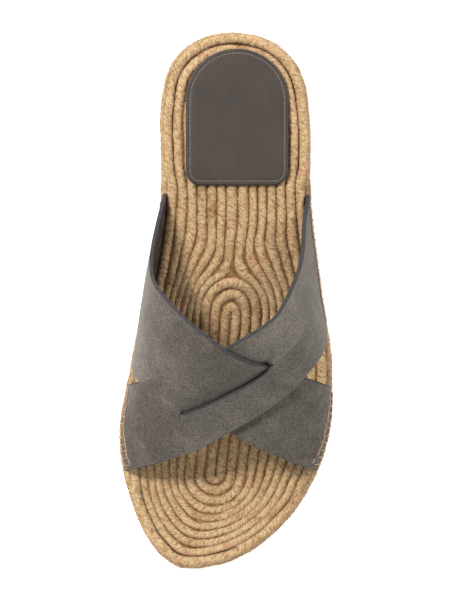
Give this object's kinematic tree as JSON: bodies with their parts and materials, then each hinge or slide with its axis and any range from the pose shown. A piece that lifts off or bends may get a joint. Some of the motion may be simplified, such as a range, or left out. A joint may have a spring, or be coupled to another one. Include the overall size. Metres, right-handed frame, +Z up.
{
  "type": "suede sandal",
  "caption": "Flat slide sandal for the left foot: crossed suede bands threaded through a slit, on a coiled jute rope sole with a leather heel pad.",
  "frame": {"origin": "middle of the sandal's box, on the ground", "axes": "+Z up, +Y from the toe to the heel, +X to the little toe's side"},
  "size_m": [0.1138, 0.2854, 0.0817],
  "materials": {
    "outsole_rubber": "matt crepe rubber",
    "jute_rope": "natural twisted jute rope",
    "pad_leather": "smooth grey-brown leather, low sheen",
    "suede": "warm grey suede with painted edges"
  },
  "bodies": {
    "root": {"outsole": "outsole_rubber", "rope_sole": "jute_rope", "heel_pad": "pad_leather", "upper": "suede"}
  },
  "joints": []
}
